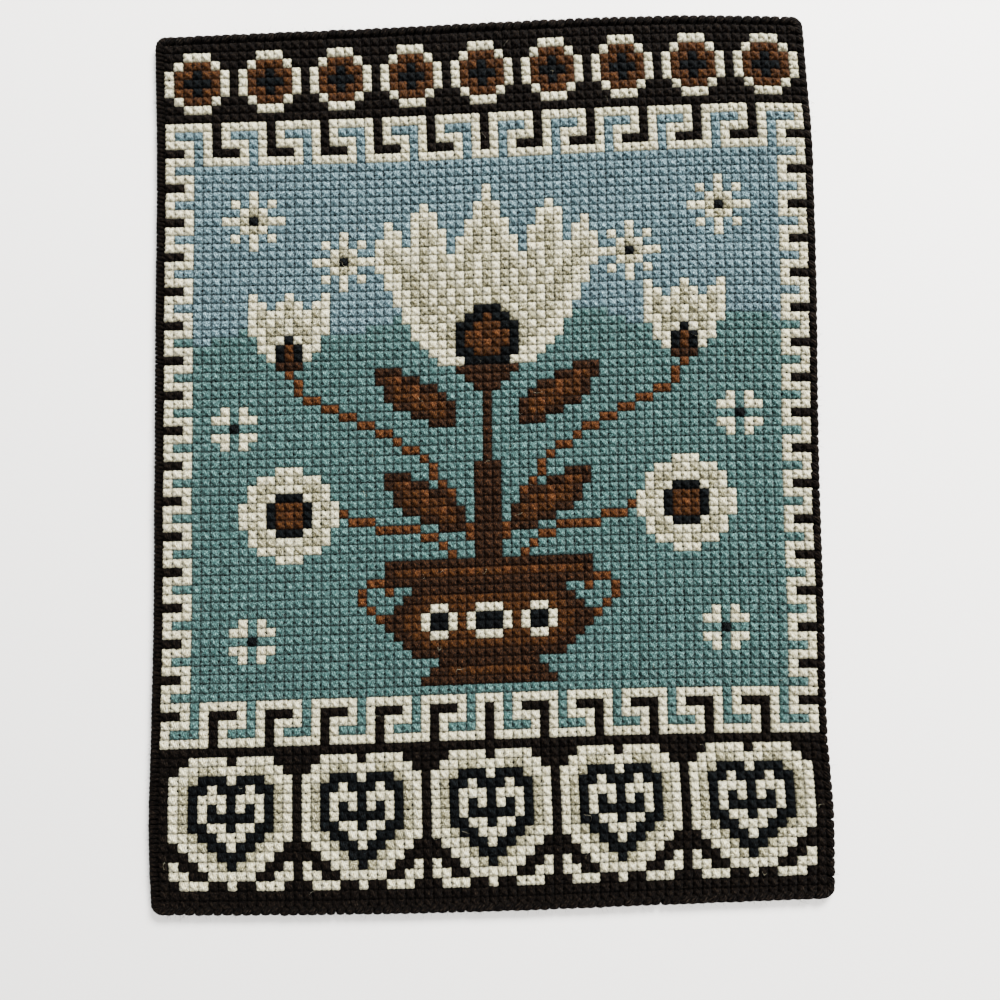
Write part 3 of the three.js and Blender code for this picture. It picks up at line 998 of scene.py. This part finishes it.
def canvas_cloth():
    inward, height, used = hem_profile()
    top = FOLD_MIDDLE + FOLD_RADIUS
    across, down = np.meshgrid(
        np.linspace(FOLD_INSET, FLAT_WIDTH - FOLD_INSET, CANVAS_COLUMNS + 1),
        np.linspace(FOLD_INSET, FLAT_HEIGHT - FOLD_INSET, CANVAS_ROWS + 1),
    )
    places = [np.stack((across, down, np.full_like(across, top)), axis=-1).reshape(-1, 3)]
    cut_places = [places[0][:, :2]]
    faces = grid_faces(*across.shape, 0)
    for to_flat, length, steps in (
        (from_top, FLAT_WIDTH, CANVAS_COLUMNS),
        (from_right, FLAT_HEIGHT, CANVAS_ROWS),
        (from_bottom, FLAT_WIDTH, CANVAS_COLUMNS),
        (from_left, FLAT_HEIGHT, CANVAS_ROWS),
    ):
        share = np.linspace(0, 1, steps + 1)
        along = inward[:, None] + share * (length - 2 * inward[:, None])
        strip_across, strip_down = to_flat(along, np.broadcast_to(inward[:, None], along.shape))
        up = np.broadcast_to(height[:, None], along.shape)
        faces += grid_faces(*along.shape, sum(len(part) for part in places))
        places.append(np.stack((strip_across, strip_down, up), axis=-1).reshape(-1, 3))
        cut_across, cut_down = to_flat(along, FOLD_INSET - np.broadcast_to(used[:, None], along.shape))
        cut_places.append(np.stack((cut_across, cut_down), axis=-1).reshape(-1, 2))

    across, down, up = np.concatenate(places).T
    mesh = bpy.data.meshes.new("canvas")
    mesh.from_pydata(lay(*round_corners(across, down), up).tolist(), [], faces)
    cut = np.concatenate(cut_places) / MM
    weave = mesh.uv_layers.new(name="weave")
    weave.data.foreach_set("uv", cut[np.array(faces).reshape(-1)].astype(np.float32).reshape(-1))
    mesh.materials.append(canvas_cotton())
    canvas = bpy.data.objects.new("canvas", mesh)
    bpy.context.scene.collection.objects.link(canvas)

    weld = canvas.modifiers.new("weld", "WELD")
    weld.merge_threshold = 0.01 * MM
    thicken = canvas.modifiers.new("thicken", "SOLIDIFY")
    thicken.thickness = CANVAS_THICKNESS
    thicken.offset = 0
    shown = canvas.evaluated_get(bpy.context.evaluated_depsgraph_get())
    canvas.data = bpy.data.meshes.new_from_object(shown)
    canvas.modifiers.clear()
    canvas.data.shade_smooth()
    turned = used[-1]
    cut_size = tuple(size - 2 * FOLD_INSET + 2 * turned for size in (FLAT_WIDTH, FLAT_HEIGHT))
    cut_area = cut_size[0] * cut_size[1] - 8 * turned ** 2
    print(f"canvas cut {cut_size[0] / MM:.0f} x {cut_size[1] / MM:.0f} mm")
    print("canvas faces:", len(canvas.data.polygons))
    return canvas, cut_size, cut_area


canvas, cut_size, cut_area = canvas_cloth()
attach(canvas, "root")

# %% [markdown]
# ## The back of the work
#
# Worked row by row, full crosses leave short upright bars on the back, one at each line of holes. They
# stop at the hem. Nothing on the front shows them, but the piece is turned over to be hung, and bars of
# the same wools make that side true as well. They are coarser than the crosses: four sides, three rings.

# %% Upright bars on the back
HEM_LINES = 4                     # lines of holes under the hem
BAR_SHARES = np.array([0.0, 0.5, 1.0])
BAR_HALF_WIDTH = np.array([1.9, 2.75, 1.9]) * MM
BAR_HALF_HEIGHT = np.array([0.6, 0.85, 0.6]) * MM
BAR_MIDDLE = np.array([1.25, 1.0, 1.25]) * MM
# Painted shade along a bar: darker at its ends, in the holes.
BAR_PAINTED_LIGHT = np.array([0.35, 1.0, 0.35])
BAR_LEAN = 0.25 * MM
BAR_SIDES = 4


def reverse_bars():
    random = np.random.default_rng(31)
    rows, columns = np.mgrid[HEM_LINES:ROWS - HEM_LINES, HEM_LINES:COLUMNS - HEM_LINES + 1]
    rows, columns = rows.reshape(-1), columns.reshape(-1)
    count = len(rows)
    lean = random.normal(0, BAR_LEAN, (count, 1))
    across = across_at(columns)[:, None] + lean * (BAR_SHARES - 0.5) * 2
    down = down_at(rows)[:, None] + ROW_PITCH * BAR_SHARES
    middles = np.stack((across, down, np.broadcast_to(BAR_MIDDLE, across.shape)), axis=-1)
    sideways = np.broadcast_to(np.array([1.0, 0, 0]), middles.shape)
    outward = np.broadcast_to(np.array([0, 0, -1.0]), middles.shape)
    widths = BAR_HALF_WIDTH * (1 + random.normal(0, WIDTH_SPREAD, (count, 1)))
    heights = np.broadcast_to(BAR_HALF_HEIGHT, widths.shape)
    rings = rings_of(middles, sideways, outward, widths, heights, BAR_SIDES)
    order = {letter: number for number, letter in enumerate(WOOLS)}
    wool_of_bar = np.array([order[letters[row, column]] for row, column in zip(rows, columns)])
    wools = list(WOOLS.values())
    return yarn_piece("reverse_bars", rings, random.random(count), BAR_PAINTED_LIGHT, wools, wool_of_bar)


bars = reverse_bars()
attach(bars, "root")

# %% [markdown]
# ## Fuzz and loose fibres
#
# Wool is never clean at its outline. Short dark hairs stand out all along the whipped edge, and some
# pale fibres, shed by the cream wool, lie loose on the face, where they show most on the dark border.
# Each is only a much thinner length of yarn, so the same function makes them, with three sides.

# %% Thin strands
HAIR_RADIUS = 0.07 * MM
LOOSE_RADIUS = 0.08 * MM
STRAND_SIDES = 3
STRAND_TAPER = 0.6                # share of its thickness that a strand has lost at its tip
BOW_REACH = 1.3                   # past 1 the bow comes back and swings a little the other way
HAIRS_TO_A_METRE = 350
HAIR_LENGTHS = (0.6 * MM, 4 * MM)
ROOT_HEIGHTS = (1.2 * MM, 4.2 * MM)
LOOSE_FIBRES = 90
LOOSE_LENGTHS = (1.5 * MM, 6 * MM)
FACE_HEIGHT = 4.85 * MM


def strands(name, starts, headings, sways, radius, ring_count, material, slot):
    """Each strand runs from its start along its heading, and bows aside by its sway."""
    share = np.linspace(0, 1, ring_count)[:, None]
    bow = np.sin(share * math.pi * BOW_REACH)
    middles = starts[:, None] + headings[:, None] * share + sways[:, None] * bow
    flat = headings[:, :2] / np.linalg.norm(headings[:, :2], axis=-1, keepdims=True)
    beside = np.stack((-flat[:, 1], flat[:, 0], np.zeros(len(flat))), axis=-1)
    sideways = np.broadcast_to(beside[:, None], middles.shape)
    outward = np.broadcast_to(np.array([0.0, 0.0, 1.0]), middles.shape)
    radii = np.broadcast_to(radius * (1 - STRAND_TAPER * share[:, 0]), middles.shape[:2])
    rings = rings_of(middles, sideways, outward, radii, radii, STRAND_SIDES)
    tones = np.random.default_rng(len(starts)).random(len(starts))
    piece = yarn_piece(name, rings, tones, np.ones(ring_count), [material])
    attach(piece, "root")


def edge_hairs(random):
    starts, headings, sways = [], [], []
    for to_flat, length in (
        (from_top, FLAT_WIDTH),
        (from_right, FLAT_HEIGHT),
        (from_bottom, FLAT_WIDTH),
        (from_left, FLAT_HEIGHT),
    ):
        count = round(HAIRS_TO_A_METRE * length)
        along = random.uniform(CORNER_RADIUS, length - CORNER_RADIUS, count)
        reach = random.gamma(3.0, 0.55 * MM, count).clip(*HAIR_LENGTHS)
        slant = random.normal(0, 0.8, count) * reach
        start = np.stack(to_flat(along, np.full(count, 0.7 * MM)), axis=-1)
        tip = np.stack(to_flat(along + slant, -reach), axis=-1)
        up = random.uniform(*ROOT_HEIGHTS, count)
        climb = random.uniform(-0.15, 0.35, count) * reach
        sway = random.normal(0, 0.2, (count, 2)) * reach[:, None]
        starts.append(np.column_stack((start, up)))
        headings.append(np.column_stack((tip - start, climb)))
        sways.append(np.column_stack((sway, np.zeros(count))))
    return [np.concatenate(part) for part in (starts, headings, sways)]


def loose_fibres(random):
    across = random.uniform(0.02, 0.98, LOOSE_FIBRES) * FLAT_WIDTH
    down = random.uniform(0.02, 0.98, LOOSE_FIBRES) * FLAT_HEIGHT
    starts = np.column_stack((across, down, np.full(LOOSE_FIBRES, FACE_HEIGHT)))
    turn = random.uniform(0, 2 * math.pi, LOOSE_FIBRES)
    lengths = random.uniform(*LOOSE_LENGTHS, LOOSE_FIBRES)
    towards = np.column_stack((np.cos(turn), np.sin(turn), np.zeros(LOOSE_FIBRES)))
    aside = np.column_stack((-np.sin(turn), np.cos(turn), np.zeros(LOOSE_FIBRES)))
    bow = random.normal(0, 0.25, LOOSE_FIBRES) * lengths
    return starts, towards * lengths[:, None], aside * bow[:, None]


hairs = edge_hairs(np.random.default_rng(41))
strands("edge_fuzz", *hairs, HAIR_RADIUS, 4, WOOLS["K"], "edging_wool")
shed = loose_fibres(np.random.default_rng(43))
strands("loose_fibres", *shed, LOOSE_RADIUS, 8, WOOLS["C"], "stitched_wool")

# %% [markdown]
# ## Floor, light and camera
#
# The piece lies on a plain pale floor under soft light from a window beyond its top edge, so each row
# of crosses has a lit upper side and a dark line under it, deepened by the shade painted into the gaps.
# The camera looks almost straight down.

# %% Floor
def pale_floor():
    mesh = bpy.data.meshes.new("floor")
    reach = 3.0
    corners = [(-reach, -reach, 0), (reach, -reach, 0), (reach, reach, 0), (-reach, reach, 0)]
    mesh.from_pydata(corners, [], [(0, 1, 2, 3)])
    floor = bpy.data.objects.new("floor", mesh)
    bpy.context.scene.collection.objects.link(floor)
    material = bpy.data.materials.new("pale_floor")
    material.use_nodes = True
    surface = material.node_tree.nodes["Principled BSDF"]
    surface.inputs["Base Color"].default_value = (*from_screen("e9e7e4"), 1)
    surface.inputs["Roughness"].default_value = 0.9
    mesh.materials.append(material)


pale_floor()


# %% Light
def soft_light(name, place, target, size, power, colour):
    data = bpy.data.lights.new(name, "AREA")
    data.shape = "RECTANGLE"
    data.size = size[0]
    data.size_y = size[1]
    data.energy = power
    data.color = colour
    lamp = bpy.data.objects.new(name, data)
    lamp.location = place
    lamp.rotation_euler = (Vector(target) - Vector(place)).to_track_quat("-Z", "Y").to_euler()
    bpy.context.scene.collection.objects.link(lamp)


soft_light("window", (0.75, 1.7, 1.1), (0, 0, 0), (1.2, 0.6), 325, (1.0, 0.99, 0.97))
soft_light("room", (0.9, -0.5, 1.3), (0, 0, 0), (1.2, 1.2), 34, (1.0, 0.96, 0.9))

world = bpy.data.worlds.new("soft_room")
world.use_nodes = True
world.node_tree.nodes["Background"].inputs["Color"].default_value = (0.95, 0.97, 1.0, 1)
world.node_tree.nodes["Background"].inputs["Strength"].default_value = 1.07
bpy.context.scene.world = world

# %% Camera
CAMERA_PLACE = Vector((7.4, -52.2, 489.5)) * MM
LOOKS_AT = Vector((8.0, -30.0, 0.0)) * MM
PICTURE_UP = Vector((0.0262, 0.9997, 0.0))      # the piece is turned a little in the picture


def photo_camera():
    data = bpy.data.cameras.new("camera")
    data.sensor_width = 36
    data.lens = 27
    data.clip_start = 0.01
    data.clip_end = 20
    camera = bpy.data.objects.new("camera", data)
    forward = (LOOKS_AT - CAMERA_PLACE).normalized()
    right = forward.cross(PICTURE_UP).normalized()
    up = right.cross(forward)
    turn = Matrix((right, up, -forward)).transposed().to_4x4()
    camera.matrix_world = Matrix.Translation(CAMERA_PLACE) @ turn
    bpy.context.scene.collection.objects.link(camera)
    bpy.context.scene.camera = camera


photo_camera()
